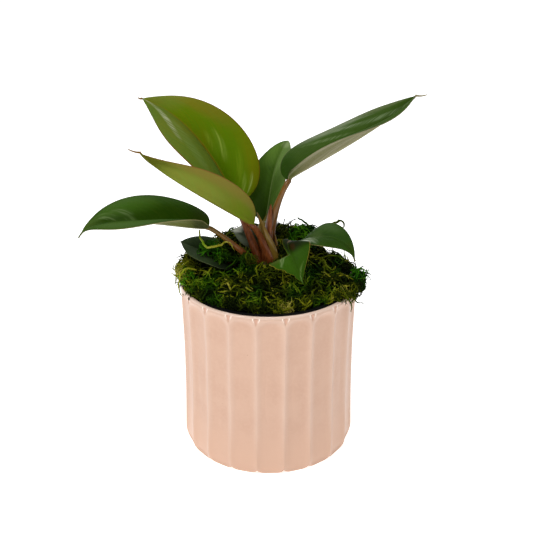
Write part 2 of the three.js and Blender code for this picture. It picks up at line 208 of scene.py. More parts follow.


# Planter: a slip-cast ceramic cachepot. Its outside is ringed with long scooped panels whose
# round ends leave small notches, under a smooth rolled lip, all in one blush glaze that runs
# thin and pale on the ridges, pools pinker in the notches and leaves the foot ring bare, with
# painted highlights beside the notches and along the lip.
RADIUS = 63.5
HEIGHT = 127.5
WALL = 3.3
FLOOR = 5
FOOT_RING = 51.5
RECESS = 0.9
WAIST = 1.3
FOOT_TALL = 12
FOOT_DEEP = 4.4
LIP_ROUND = 1.65
PANELS = 20
PANEL_TURN = radians(1.5)
PANEL_LOW = 0.2
PANEL_HIGH = 124.8
PANEL_END = 9
ARCH = 2.3
FOOT_END = 5
FOOT_ARCH = 2.6
PANEL_HALF = 9.5
BEAD = 0.75
BEAD_WIDE = 2.4
SCOOP = 1.5
NOTCH = 0.9
NOTCH_HALF = 1.6
NOTCH_LOW = 120.5
NOTCH_TOP = 126.5
FOOT_NOTCH = 2.2
FOOT_SOFT = 0.9
BEAD_THIN = 0.38
GLINT = 1.8
GLINT_LOW = 122
GLINT_TOP = 124.5
POOL = 1.5
CLOSED_LOW = 125.8
CLOSED_TOP = 126.8
SEAM = 0.4
SEAM_HIGH = 126
COLUMNS = 24
UNEVEN = 0.08
TWIST = 0.006
LIP_PALE = (125.6, 127.2)
BARE_FOOT = 0.0004


def clamp(value, low=0.0, high=1.0):
    return min(max(value, low), high)


def ease(value, low, high):
    """0 below low, 1 above high and a smooth climb between them."""
    way = clamp((value - low) / (high - low))
    return way * way * (3 - 2 * way)


def mix(one, other, way):
    return one + (other - one) * way


def wall_radius(z):
    foot = max(0, 1 - z / FOOT_TALL)
    return RADIUS - WAIST * sin(pi * z / HEIGHT) - FOOT_DEEP * (1 - sqrt(1 - foot * foot))


def panel(across, z, bite):
    """How deep the surface lies below the beads round the panels, and the glaze value: thin glaze
    on the beads, pooled glaze in the notches and painted highlights beside the notches.
    """
    low = z < HEIGHT / 2
    arch = FOOT_ARCH if low else ARCH
    if low:
        beyond = (PANEL_LOW + FOOT_END - z) / FOOT_END
    else:
        beyond = (z - PANEL_HIGH + PANEL_END) / PANEL_END
    inside = 1 - (abs(across) ** arch + max(0, beyond) ** arch) ** (1 / arch)
    if low and inside < 0:
        return bite * (1 - exp(-(inside * PANEL_HALF / FOOT_SOFT) ** 2)), 0.3
    aside = (1 - abs(across)) * PANEL_HALF
    half = NOTCH_HALF * clamp((z - NOTCH_LOW) / (NOTCH_TOP - NOTCH_LOW))
    groove = clamp(1 - aside / (half + 0.2)) * clamp(half / 0.6)
    # Painted highlight: a glint beside each notch near the top, carried in the glaze value above
    # thin glaze.
    shine = exp(-((aside - half - 0.7) / 0.5) ** 2) * ease(z, GLINT_LOW, GLINT_TOP)
    flank = exp(-(max(0, inside) * PANEL_HALF / BEAD_WIDE) ** 2)
    hollow = BEAD * (1 - flank) + SCOOP * (1 - (1 - max(0, inside)) ** 2)
    closed = 1 - ease(z, CLOSED_LOW, CLOSED_TOP)
    seam = SEAM * exp(-((z - SEAM_HIGH) / 0.5) ** 2)
    thin = max(BEAD_THIN * flank, GLINT * shine) - POOL * groove * closed
    return (hollow + NOTCH * groove) * closed + seam, thin


def steps(low, high, count):
    return [mix(low, high, k / count) for k in range(count + 1)]


heights = steps(0, 1, 5) + steps(1.4, 11, 20) + steps(13, 114, 26) + steps(115.5, 125.6, 26)
profile = [(0, RECESS), (FOOT_RING - 2.5, RECESS), (FOOT_RING - 1, 0.5), (FOOT_RING, 0)]
profile += [(wall_radius(z), z) for z in heights]
lip_middle = HEIGHT - LIP_ROUND
profile += [(RADIUS - LIP_ROUND + LIP_ROUND * cos(a), lip_middle + LIP_ROUND * sin(a))
            for a in steps(0, pi, 14)]
profile += [(RADIUS - WALL, z) for z in (118, 100, 60, 20, 10)]
profile += [(RADIUS - WALL - 1.2, 6.4), (RADIUS - WALL - 4, FLOOR), (0, FLOOR)]

bm = bmesh.new()
points = [bm.verts.new((r, 0, z)) for r, z in profile]
edges = [bm.edges.new(pair) for pair in zip(points, points[1:])]
bmesh.ops.spin(
    bm, geom=points + edges, axis=(0, 0, 1), angle=2 * pi, steps=PANELS * COLUMNS, use_merge=True,
)
bmesh.ops.remove_doubles(bm, verts=bm.verts, dist=0.001)
glaze_and_glint_layer = bm.verts.layers.float.new("glaze")
pitch = 2 * pi / PANELS
for vert in bm.verts:
    x, y, z = vert.co
    radius = hypot(x, y)
    if radius < FOOT_RING + 0.5:
        continue
    turn = (atan2(y, x) + pi / 2 - PANEL_TURN) / pitch
    number = round(turn)
    across = 2 * (turn - number)
    across = 0.45 * across + 0.55 * sin(pi / 2 * across)
    depth, thin = 0, 0
    if radius > RADIUS - WALL + 0.5 or z < 3:
        front = ease(-y / radius, 0.8, 0.97)
        depth, thin = panel(across, z, FOOT_NOTCH * mix(0.3, 1, front))
    # The lip is painted pale, partly its thin glaze and partly a painted highlight along it.
    thin = mix(thin, 1, ease(z, *LIP_PALE))
    angle = (number + across / 2) * pitch - pi / 2 + PANEL_TURN
    angle += TWIST * noise.noise(vert.co / 31 + Vector((5, 0, 0)))
    wobble = UNEVEN * noise.noise(vert.co / 23) * ease(z, 0, 6)
    radius += wobble - depth
    vert.co = (radius * cos(angle), radius * sin(angle), z)
    vert[glaze_and_glint_layer] = thin
bmesh.ops.recalc_face_normals(bm, faces=bm.faces)

glaze = Finish("blush_glaze", Coat_Roughness=0.06, Specular_IOR_Level=0.1)
thin = glaze.node("Attribute", {"attribute_name": "glaze"}, {}, "Fac")
cloudy = glaze.rise(glaze.mottle(60, 3), 0.3, 0.7)
colour = glaze.blend(cloudy, paint(195, 159, 138), paint(199, 164, 143))
stippled = glaze.rise(glaze.mottle(480, 3), 0.4, 0.75)
colour = glaze.blend(stippled * 0.4, colour, paint(202, 167, 146))
# Beads go pale with thin glaze; the lip goes pale with thin glaze and a painted highlight.
colour = glaze.blend(thin * 0.45, colour, paint(226, 206, 192))
colour = glaze.blend(glaze.rise(0 - thin, 0, 1) * 0.6, colour, paint(218, 172, 152))
# Painted highlight: the glints beside the notches turn near white.
colour = glaze.blend(glaze.rise(thin, 1.05, 1.7), colour, paint(252, 240, 230))
cells = glaze.node("TexVoronoi", {"feature": "F1"}, {"Vector": glaze.place(), "Scale": 75})
specks = (1 - glaze.rise(cells, 0.012, 0.034)) * glaze.rise(glaze.mottle(40), 0.5, 0.6)
colour = glaze.blend(specks * 0.6, colour, paint(150, 112, 88))
height = glaze.node("SeparateXYZ", {}, {"Vector": glaze.place()}, "Z")
low_down = 1 - glaze.rise(height, 0.012, 0.045)
colour = glaze.blend(low_down, colour, paint(203, 167, 145))
bare = 1 - glaze.rise(height, BARE_FOOT * 0.6, BARE_FOOT * 1.6)
colour = glaze.blend(bare, colour, paint(214, 196, 176))
glaze.coat("Base Color", colour)
glaze.coat("Roughness", bare * 0.4 + glaze.mottle(30) * 0.12 + 0.3)
glaze.coat("Coat Weight", glaze.rise(thin, 0, 1) * 0.75 + 0.15)
glaze.relief(glaze.mottle(150, 2), 0.0002)
dress(bm, "glazed_planter", [glaze], ["planter"])


# Grow pot: the thin black plastic pot that the plant was raised in, blow-moulded with a
# beaded rim and drain holes. It stands loose in the planter, and only its rim shows.
plastic = Finish("black_plastic", Roughness=0.35, Specular_IOR_Level=0.15)
plastic.coat("Base Color", plastic.blend(plastic.mottle(60, 4), paint(8, 8, 9), paint(18, 19, 20)))
plastic.coat("Roughness", plastic.mottle(90, 3) * 0.3 + 0.22)
plastic.relief(plastic.mottle(500, 2), 0.0001)
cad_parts["grow_pot"].material_slots[0].material = plastic.material


# Potting mix: dark peat with bark crumbs and grit, firmed round the stem to just below the
# grow pot's rim. The moss covers it.
peat = Finish("potting_mix", Roughness=0.95, Specular_IOR_Level=0.05)
crumbs = peat.node("TexVoronoi", {"feature": "F1"}, {"Vector": peat.place(), "Scale": 420})
barky = peat.rise(peat.mottle(180, 4), 0.35, 0.65)
colour = peat.blend(barky, paint(30, 20, 14), paint(74, 52, 36))
grit = 1 - peat.rise(crumbs, 0.06, 0.14)
peat.coat("Base Color", peat.blend(grit * 0.5, colour, paint(150, 130, 105)))
peat.relief(peat.mottle(500, 4) - crumbs * 0.6, 0.002)
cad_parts["soil"].material_slots[0].material = peat.material


# Blades: nine waxy leaves, each grown along an arching midrib that is sunk above and keeled
# beneath, with fine side veins that sweep to a thin coloured margin and a drawn-out tip.
BLADE = 0.7
KEEL = 0.9
CAMBER = 0.1
KEEL_HALF = 2.2
NECK = 5
ACROSS = 36
ALONG = 84
VEINS = 19
VEIN_RISE = 0.06
RIB_SUNK = 0.45
RIB_HALF = 1.3
SEAT = 0.35
LEAVES = {
    "tall_left": dict(
        half=30, rib=[(-22, 12, 179.5), (-28.5, 14, 193.5), (-48.5, 11, 246), (-86, 12, 257)],
        face=[(0.44, -0.75, 0.49), (0.51, -0.63, 0.58), (-0.11, -0.68, 0.73)],
        fold=(28, 25, -30), outline=(0.81, 0.69, 0.85), thread=(-89, 12, 257.6),
        root=(-5, 0, 136), lean=(-4, 1, 14), stalk=(3.5, 2.3), wave=0.5, sweep=0.65,
    ),
    "front_left": dict(
        half=19,
        rib=[(-10.5, -10.5, 172.5), (-27.5, -32, 193.5), (-74.5, -41.5, 223), (-81.5, -46, 237.5)],
        face=[(-0.51, 0.25, 0.82), (0.03, 0.49, 0.87), (-0.22, 0.51, 0.83)],
        fold=(45, 42, 14), far_fold=(66, 68, 28), outline=(0.73, 0.71, 1.3),
        thread=(-89.5, -47, 240),
        root=(4, -4, 138), lean=(-2, -2, 10), stalk=(4.4, 2.1), wave=0.3,
    ),
    "low_left": dict(
        half=23, rib=[(-41, -14, 173.5), (-56.5, -11, 170), (-120, -18, 190), (-128.5, -34, 173.5)],
        face=[(0.1, 0.16, 0.98), (0.05, -0.17, 0.98), (-0.53, -0.61, 0.59)],
        fold=(32, 25, -10), outline=(0.78, 0.51, 1.95),
        root=(-6, -4, 138), lean=(-9, -2, 10), neck=(6, 1, -3), stalk=(2.6, 1.7), wave=0.3,
    ),
    "back": dict(
        half=18.5, rib=[(-3, 10, 166.5), (2.5, 17, 179.5), (1, 25, 207), (14.5, 42, 217.5)],
        face=[(-0.61, -0.74, 0.3), (-0.65, -0.69, 0.32), (-0.48, -0.81, 0.34)],
        fold=(33, 20, 6), outline=(0.82, 0.72, 0.72),
        root=(-1, 4, 136), lean=(-2, 1, 14), neck=(-6, 0, -4), stalk=(3.6, 3.4), wave=0.3,
    ),
    "tall_right": dict(
        half=24.5, rib=[(13.5, 2, 202), (20, 12, 205), (79.5, 3.5, 238), (100, 12, 259)],
        face=[(-0.77, -0.2, 0.61), (0.24, 0.1, 0.97), (-0.6, -0.36, 0.72)],
        fold=(44, 30, 25), far_fold=(44, 23, 17), outline=(0.76, 0.77, 0.99),
        thread=(108, 12, 259.5),
        root=(1, 1, 136), lean=(-5, 0, 30), stalk=(5, 1.9), wave=0.35, sweep=0.7,
    ),
    "low_right": dict(
        half=13, rib=[(20.5, 6, 150.5), (30.5, -8.5, 168), (56, -14.5, 170.5), (61, -18, 148.5)],
        face=[(0.22, -0.19, 0.96), (0.38, -0.45, 0.75), (0.7, -0.57, 0.43)],
        fold=(11, 6, -1), outline=(0.8, 0.7, 1.31),
        root=(4, 2, 138), lean=(5, 1, 8), stalk=(2.2, 1.4), wave=0.2,
    ),
    "front_small": dict(
        half=15.5, rib=[(15.5, -8, 160), (9.5, -19, 164.5), (16.5, -31.5, 158), (24, -36, 139.5)],
        face=[(-0.03, -0.36, 0.93), (-0.07, -0.69, 0.63), (0.08, -0.97, 0.24)],
        fold=(7, 2, -1), outline=(0.8, 0.7, 1.34),
        far_half=[(0, 3), (0.1, 4.4), (0.23, 3.6), (0.35, 2.7), (0.48, 1.9), (0.545, 1.9),
                  (0.578, 16.6), (0.66, 13.5), (0.76, 8), (0.88, 3.4), (1, 0)],
        root=(4, -2, 138), lean=(7, -2, 9), stalk=(2.2, 1.4), wave=0.2,
    ),
    "moss_left": dict(
        half=13.5, rib=[(-25, -3, 139.5), (-35, -4, 144.5), (-56.5, 1, 154.5), (-63, 4, 154.5)],
        face=[(-0.1, -0.49, 0.86), (-0.26, -0.22, 0.94), (-0.11, -0.67, 0.73)],
        fold=(10, 12, 0), outline=(0.8, 0.65, 1.26),
        root=(-5, -3, 134), lean=(-7, 0, 3), stalk=(2, 1.3), wave=0.15,
    ),
    "moss_back": dict(
        half=12,
        rib=[(-4.5, 13.5, 149.5), (-7.5, 14.5, 149.5), (-18.5, 18, 159), (-27.5, 26, 153.5)],
        face=[(0.03, -0.44, 0.9), (0.07, -0.43, 0.9), (0.1, -0.41, 0.91)],
        fold=(8, 11, 12), outline=(0.79, 0.7, 1.3),
        root=(-2, 4, 136), lean=(-1, 3, 6), stalk=(2, 1.3), wave=0.15,
    ),
}


def through(values, way):
    """The smooth curve through three values, at the base, the middle and the tip."""
    base, middle, tip = values
    rest = 1 - way
    return base * rest * (1 - 2 * way) + middle * 4 * way * rest + tip * way * (2 * way - 1)


def bezier(points, way):
    """A point on a cubic curve and the way it heads there."""
    a, b, c, d = (Vector(point) for point in points)
    ab, bc, cd = a.lerp(b, way), b.lerp(c, way), c.lerp(d, way)
    abc, bcd = ab.lerp(bc, way), bc.lerp(cd, way)
    return abc.lerp(bcd, way), (bcd - abc).normalized()


def midrib(leaf, station):
    """The midrib's point, its heading, and the up and side of the blade about it."""
    way = clamp(station, 0.0001, 0.9999)
    centre, forward = bezier(leaf["rib"], way)
    up = Vector([through([face[i] for face in leaf["face"]], way) for i in range(3)])
    up = (up - forward * up.dot(forward)).normalized()
    return centre, forward, up, forward.cross(up)


def blade_point(leaf, across, station):
    centre, forward, up, side = midrib(leaf, station)
    widest, base, tip = leaf["outline"]
    way = clamp(station, 0.0001, 0.9999)
    half = leaf["half"] * sin(pi * way ** widest) ** mix(base, tip, way)
    if across > 0 and "far_half" in leaf:
        knots = leaf["far_half"]
        (a, low), (b, high) = next(pair for pair in zip(knots, knots[1:]) if way <= pair[1][0])
        half = mix(low, high, ease(way, a, b))
    wide = max(half, 1.2 * mix(1.6, 0.5, way))
    fold = leaf.get("far_fold", leaf["fold"]) if across > 0 else leaf["fold"]
    lift = radians(through(fold, way))
    out = abs(across)
    slope = sin(lift) + 4 * CAMBER * (1 - 2 * out)
    outward = (up * cos(lift) - side * slope * (1 if across > 0 else -1)).normalized()
    point = centre + side * across * wide * cos(lift)
    point += up * out * wide * (sin(lift) + 4 * CAMBER * (1 - out))
    groove = -RIB_SUNK * exp(-(across * wide / RIB_HALF) ** 2)
    sweep = VEINS * (station - leaf.get("sweep", 0.3) * out ** 1.3)
    vein = VEIN_RISE * sin(2 * pi * sweep) * half / 20
    vein *= ease(out, 0.03, 0.2) * (1 - ease(out, 0.85, 1))
    wave = leaf["wave"] * sin(9.5 * station + 3 * across + leaf["half"])
    wave *= out ** 3 * ease(half, 2, 12)
    return point + outward * (groove + vein + wave)


def draw_out(bm, path, girth, sides, flat=1.0):
    """A stalk, thread or strand: a ring extruded along a path, with its own girth all the way."""
    heading = (path[1] - path[0]).normalized()
    stand = heading.to_track_quat("Z", "Y")
    last = Matrix.Identity(4)
    ring = bmesh.ops.create_circle(bm, segments=sides, radius=1)["verts"]
    made = list(ring)
    edges = list(dict.fromkeys(edge for vert in ring for edge in vert.link_edges))
    ends = [edges]
    for k, point in enumerate(path):
        ahead = path[min(k + 1, len(path) - 1)] - path[max(k - 1, 0)]
        turned = heading.rotation_difference(ahead.normalized())
        stand = turned @ stand
        heading = ahead.normalized()
        radius = girth(k / (len(path) - 1))
        frame_here = Matrix.Translation(point) @ stand.to_matrix().to_4x4() @ Matrix.Diagonal(
            (radius, radius * flat, 1, 1))
        if k:
            out = bmesh.ops.extrude_edge_only(bm, edges=edges)["geom"]
            ring = [item for item in out if isinstance(item, bmesh.types.BMVert)]
            edges = [item for item in out if isinstance(item, bmesh.types.BMEdge)]
            made += ring
        bmesh.ops.transform(bm, matrix=frame_here @ last.inverted(), verts=ring)
        last = frame_here
    ends.append(edges)
    for edges in ends:
        bmesh.ops.edgeloop_fill(bm, edges=edges)
    faces = list(dict.fromkeys(face for vert in made for face in vert.link_faces))
    bmesh.ops.recalc_face_normals(bm, faces=faces)
    return made


def blade_skin(name, near, far, margin, rib, tints_and_painted_light=(), painted_glints=(), cloud=None, rough=0.4, vein=0.2,
               sweep=0.3, gloss=0.03, pale=(140, 150, 92)):
    """One side of a blade. Near and far are its two halves about the midrib. A tint is a soft
    patch, some the leaf's own colour, some painted shade and some painted highlight, and a painted
    glint
    a streaky painted highlight: (across, along, wide, long, colour, strength)."""
    skin = Finish(name, Specular_IOR_Level=gloss)
    place = skin.node("UVMap", {"uv_map": "blade"}, {})
    across = skin.node("SeparateXYZ", {}, {"Vector": place}, "X") * 2 - 1
    along = skin.node("SeparateXYZ", {}, {"Vector": place}, "Y")
    out = skin.maths("ABSOLUTE", across)
    swept = along - (out ** 1.3) * sweep + skin.mottle(70, 2) * 0.012
    coarse = skin.maths("PINGPONG", swept * (VEINS * 2), 1.0)
    fine = skin.maths("PINGPONG", swept * (VEINS * 8), 1.0)
    lines = (1 - skin.rise(coarse, 0.0, 0.16)) * 0.7 + (1 - skin.rise(fine, 0.0, 0.5)) * 0.4
    lines = lines * skin.rise(out, 0.02, 0.12) * vein
    grain = skin.mottle(1, 3, skin.node("CombineXYZ", {}, {"X": swept * 34, "Y": across * 2.2}))
    colour = skin.blend(skin.rise(across, -0.04, 0.04), paint(*near), paint(*far))
    # Soft tints, some of them painted shade and painted highlights.
    for spot_across, spot_along, wide, long, tint, strength in tints_and_painted_light:
        dx = (across - spot_across) * (1 / wide)
        dy = (along - spot_along) * (1 / long)
        patch = 1 - skin.rise(dx * dx + dy * dy, 0.0, 1.0)
        colour = skin.blend(patch * strength, colour, paint(*tint))
    tint = cloud or [c * 0.72 for c in near]
    patchy = skin.rise(skin.mottle(40, 3) * 0.5 + grain * 0.5, 0.4, 0.66)
    colour = skin.blend(patchy * 0.34, colour, paint(*tint))
    colour = skin.blend(lines * 0.4, colour, paint(*pale))
    streaks = skin.rise(grain, 0.44, 0.62) * 0.8 + 0.2
    # Painted highlights: glints streaked along the veins.
    for spot_across, spot_along, wide, long, tint, strength in painted_glints:
        dx = (across - spot_across) * (1 / wide)
        dy = (along - spot_along - (across - spot_across) * (sweep * 0.9)) * (1 / long)
        spot = 1 - skin.rise(dx * dx + dy * dy, 0.0, 1.0)
        colour = skin.blend(spot * streaks * strength, colour, paint(*tint))
    on_rib = (1 - skin.rise(out, 0.012, 0.035)) * (1 - along * 0.8)
    colour = skin.blend(on_rib * 0.8, colour, paint(*rib))
    colour = skin.blend(skin.rise(out, 0.962, 0.988) * 0.8, colour, paint(*margin))
    skin.coat("Base Color", colour)
    skin.coat("Roughness", skin.mottle(120, 3) * 0.16 + (rough - 0.08))
    skin.relief(skin.mottle(300, 3) * 0.5 - lines + fine * 0.2, 0.00015)
    return skin


def edge_skin(name, one, other):
    """The thin coloured edge of a blade and the thread at its tip."""
    skin = Finish(name, Roughness=0.45, Specular_IOR_Level=0.1)
    skin.coat("Base Color", skin.blend(skin.mottle(200, 2), paint(*one), paint(*other)))
    skin.relief(skin.mottle(800, 2), 0.0001)
    return skin


SKINS = {
    "tall_left": (
        # The far half's vivid yellow-green is partly painted light shining through the blade; the
        # glints are painted highlights.
        blade_skin("bright_top", (78, 100, 32), (78, 108, 0), (104, 66, 16), (124, 90, 12), [
            (0.9, 0.72, 0.5, 0.26, (104, 98, 22), 0.75),
            (0.6, 0.9, 0.9, 0.16, (92, 106, 32), 0.7),
            (0.95, 0.25, 0.5, 0.34, (100, 108, 4), 0.8),
            (-0.7, 0.5, 0.5, 0.35, (76, 98, 24), 0.6),
            (0.2, 0.97, 0.9, 0.12, (92, 98, 26), 0.6),
        ], [
            (0.3, 0.48, 0.16, 0.09, (136, 156, 62), 0.6),
            (0.16, 0.52, 0.12, 0.08, (112, 134, 34), 0.6),
            (0.42, 0.3, 0.2, 0.09, (112, 134, 24), 0.6),
            (0.4, 0.17, 0.13, 0.08, (132, 150, 62), 0.65),
            (0.62, 0.15, 0.12, 0.07, (146, 162, 86), 0.75),
            (-0.3, 0.9, 0.4, 0.1, (150, 156, 122), 1.0),
            (-0.5, 0.62, 0.34, 0.14, (96, 116, 56), 0.7),
        ], cloud=(108, 98, 0), sweep=0.65, vein=0.1),
        blade_skin("bright_under", (112, 120, 50), (112, 120, 50), (104, 62, 20), (130, 90, 50),
                   vein=0.5, sweep=0.65),
        edge_skin("bright_edge", (102, 68, 22), (120, 92, 34)),
    ),
    "front_left": (
        blade_skin("olive_top", (106, 118, 34), (106, 118, 34), (98, 56, 28), (120, 118, 40),
                   rough=0.5),
        blade_skin("olive_under", (100, 110, 34), (98, 106, 30), (112, 78, 34), (104, 100, 32), [
            (-1.0, 0.4, 0.6, 0.6, (118, 104, 46), 0.75),
            (-0.3, 0.98, 1.4, 0.36, (72, 78, 12), 1.0),
            (-0.2, 0.1, 0.5, 0.24, (92, 112, 14), 0.8),
            (-0.2, 0.55, 0.4, 0.3, (114, 128, 46), 0.6),
        ], cloud=(116, 104, 34), rough=0.55, vein=0.1, pale=(132, 138, 70)),
        edge_skin("olive_edge", (104, 72, 30), (122, 94, 40)),
    ),
    "low_left": (
        # The glints on this top are painted sheen.
        blade_skin("low_top", (32, 60, 0), (32, 60, 0), (86, 90, 40), (26, 46, 0), [
            (0.6, 0.6, 0.5, 0.25, (52, 84, 16), 0.8),
            (0.3, 0.92, 0.9, 0.22, (62, 84, 30), 0.8),
            (-0.6, 0.6, 0.5, 0.4, (58, 84, 30), 0.8),
            (0.4, 0.06, 0.9, 0.18, (34, 48, 2), 0.8),
        ], [
            (0.24, 0.7, 0.26, 0.07, (88, 108, 62), 0.8),
            (0.36, 0.62, 0.24, 0.06, (88, 108, 62), 0.8),
            (0.1, 0.58, 0.2, 0.05, (76, 98, 48), 0.7),
            (0.5, 0.72, 0.2, 0.05, (74, 98, 44), 0.7),
        ], vein=0.06, cloud=(50, 70, 4)),
        blade_skin("low_under", (116, 118, 78), (150, 148, 118), (112, 96, 62), (150, 144, 112), [
            (0.5, 0.08, 2.5, 0.2, (30, 40, 2), 1.0),
            (0.5, 0.28, 2.5, 0.16, (84, 90, 36), 0.9),
        ], vein=0.4),
        edge_skin("low_edge", (104, 98, 58), (136, 128, 92)),
    ),
    "back": (
        # The far half's lighter grey-green is a painted sheen.
        blade_skin("back_top", (52, 80, 14), (82, 106, 50), (96, 92, 44), (92, 106, 60), [
            (-0.3, 0.15, 0.9, 0.4, (24, 44, 0), 0.95),
            (-0.4, 0.85, 0.6, 0.25, (80, 108, 38), 0.7),
            (0.4, 0.34, 0.7, 0.36, (44, 70, 8), 0.8),
            (0.3, 0.97, 1.0, 0.1, (122, 138, 92), 0.8),
        ], rough=0.45, vein=0.12),
        blade_skin("back_under", (92, 104, 58), (104, 112, 70), (96, 92, 44), (120, 110, 66),
                   vein=0.4),
        edge_skin("back_edge", (96, 96, 48), (124, 120, 76)),
    ),
    "tall_right": (
        # The second and third tints are a painted sheen along the upper margin, and the glints
        # painted highlights.
        blade_skin("right_top", (48, 72, 16), (48, 72, 16), (96, 96, 66), (72, 94, 36), [
            (-0.6, 0.06, 0.9, 0.18, (28, 56, 0), 0.9),
            (-0.95, 0.5, 0.35, 0.3, (112, 122, 96), 0.7),
            (-0.9, 0.85, 0.4, 0.25, (96, 106, 70), 0.6),
        ], [
            (-0.68, 0.5, 0.3, 0.06, (116, 128, 98), 0.8),
            (-0.8, 0.6, 0.25, 0.05, (110, 122, 92), 0.7),
            (-0.5, 0.42, 0.3, 0.05, (92, 110, 68), 0.8),
            (0.0, 0.92, 0.7, 0.1, (104, 122, 84), 0.7),
        ], sweep=0.7, vein=0.1),
        # The glints on this underside are painted highlights.
        blade_skin("right_under", (134, 132, 92), (130, 128, 90), (128, 120, 90), (112, 104, 56), [
            (0.6, 0.08, 0.8, 0.18, (92, 102, 40), 0.9),
            (0.9, 0.85, 0.8, 0.16, (100, 116, 80), 0.8),
            (1.0, 0.5, 0.5, 0.5, (152, 146, 122), 0.8),
        ], [
            (0.6, 0.3, 0.5, 0.3, (170, 168, 138), 0.9),
            (0.3, 0.7, 0.4, 0.3, (160, 156, 132), 0.9),
        ], sweep=1.3, vein=1.5, pale=(84, 88, 38), rough=0.5, cloud=(98, 100, 46)),
        edge_skin("right_edge", (112, 104, 76), (140, 132, 104)),
    ),
    "low_right": (
        # The fourth tint is a painted near-white highlight by the base, and the glint a painted
        # highlight.
        blade_skin("fan_top", (40, 68, 16), (40, 68, 12), (104, 106, 62), (64, 88, 36), [
            (0.2, 0.3, 0.7, 0.16, (74, 94, 50), 0.7),
            (-0.6, 0.45, 0.5, 0.25, (62, 86, 40), 0.7),
            (0.0, 0.9, 1.0, 0.2, (44, 60, 8), 0.7),
            (0.85, 0.26, 0.3, 0.09, (196, 202, 188), 0.9),
        ], [
            (0.55, 0.31, 0.4, 0.09, (150, 160, 136), 0.8),
        ], vein=0.08),
        blade_skin("fan_under", (88, 98, 50), (100, 108, 62), (96, 98, 52), (116, 108, 62),
                   vein=0.4),
        edge_skin("fan_edge", (136, 132, 92), (118, 100, 52)),
    ),
    "front_small": (
        # The first, second and fourth tints are painted shadow over the upper part of the blade,
        # and the glints painted highlights.
        blade_skin("small_top", (40, 70, 6), (44, 76, 8), (136, 116, 40), (44, 62, 8), [
            (0.0, 0.1, 2.2, 0.46, (18, 28, 0), 1.0),
            (-0.1, 0.32, 1.2, 0.28, (14, 22, 0), 1.0),
            (-0.2, 0.4, 0.16, 0.14, (40, 24, 6), 0.9),
            (-0.85, 0.3, 0.4, 0.2, (26, 46, 4), 0.9),
            (0.8, 0.56, 0.6, 0.08, (62, 72, 26), 0.8),
        ], [
            (0.45, 0.6, 0.4, 0.05, (104, 122, 76), 0.9),
            (-0.2, 0.88, 0.6, 0.06, (112, 134, 72), 0.9),
        ], vein=0.06),
        blade_skin("small_under", (78, 88, 44), (92, 98, 54), (128, 108, 34), (110, 96, 50),
                   vein=0.4),
        edge_skin("small_edge", (138, 118, 44), (116, 90, 34)),
    ),
    "moss_left": (
        # The second tint is painted shade near the base, where the moss heap lies over the blade.
        blade_skin("teal_top", (46, 60, 34), (46, 62, 36), (66, 76, 48), (36, 54, 30), [
            (0.0, 0.9, 1.0, 0.2, (66, 80, 54), 0.7),
            (0.0, 0.1, 2.5, 0.34, (14, 22, 10), 1.0),
        ], vein=0.1, pale=(70, 86, 60)),
        blade_skin("teal_under", (60, 76, 48), (76, 88, 60), (70, 76, 46), (84, 90, 58), vein=0.4),
        edge_skin("teal_edge", (70, 80, 50), (92, 98, 64)),
    ),
    "moss_back": (
        # The second tint is a painted sheen at the tip.
        blade_skin("grey_top", (26, 34, 16), (26, 34, 16), (66, 70, 44), (44, 52, 30), [
            (-0.9, 0.6, 0.5, 0.4, (80, 88, 70), 0.8),
            (0.2, 0.92, 1.4, 0.26, (160, 162, 150), 0.9),
        ], vein=0.12),
        blade_skin("grey_under", (76, 84, 56), (90, 96, 66), (84, 84, 54), (96, 94, 62), vein=0.4),
        edge_skin("grey_edge", (84, 84, 52), (104, 98, 60)),
    ),
}

for name, leaf in LEAVES.items():
    bm = bmesh.new()
    layout = bm.loops.layers.uv.new("blade")
    meat = bm.verts.layers.deform.verify()
    bmesh.ops.create_grid(bm, x_segments=ACROSS, y_segments=ALONG, size=1)
    for vert in bm.verts:
        across, row = vert.co.x, (vert.co.y + 1) / 2
        station = mix(row ** 1.2, 0.5 - 0.5 * cos(pi * row), 0.5)
        vert.co = (across, station, 0)
    for face in bm.faces:
        for loop in face.loops:
            loop[layout].uv = ((loop.vert.co.x + 1) / 2, loop.vert.co.y)
    for vert in bm.verts:
        across, station = vert.co.x, vert.co.y
        vert.co = blade_point(leaf, across, station)
        keel = exp(-(across * leaf["half"] / KEEL_HALF) ** 2) * (1 - station)
        vert[meat][0] = (BLADE * (1 - 0.35 * abs(across) ** 4) + KEEL * keel) / (BLADE + KEEL)
    for edge in bm.edges:
        edge.smooth = not edge.is_boundary
    if "thread" in leaf:
        tip, forward = bezier(leaf["rib"], 1)
        end = Vector(leaf["thread"])
        path = [tip.lerp(end, way) + Vector((0, 0, -0.6 * sin(pi * way))) for way in steps(0, 1, 8)]
        for vert in draw_out(bm, path, lambda way: mix(0.8, 0.35, way), 8):
            vert[meat][0] = 0.02
            for face in vert.link_faces:
                face.material_index = 3
    top, under, edge_finish = SKINS[name]
    blade = dress(bm, "blade_" + name,
                  [top, under, edge_finish, edge_finish], ["leaf_" + name])
    blade.vertex_groups.new(name="meat")
    thick = blade.modifiers.new("thickness", "SOLIDIFY")
    thick.thickness = (BLADE + KEEL) / 1000
    thick.offset = -1
    thick.vertex_group = "meat"
    thick.material_offset = 1
    thick.material_offset_rim = 2


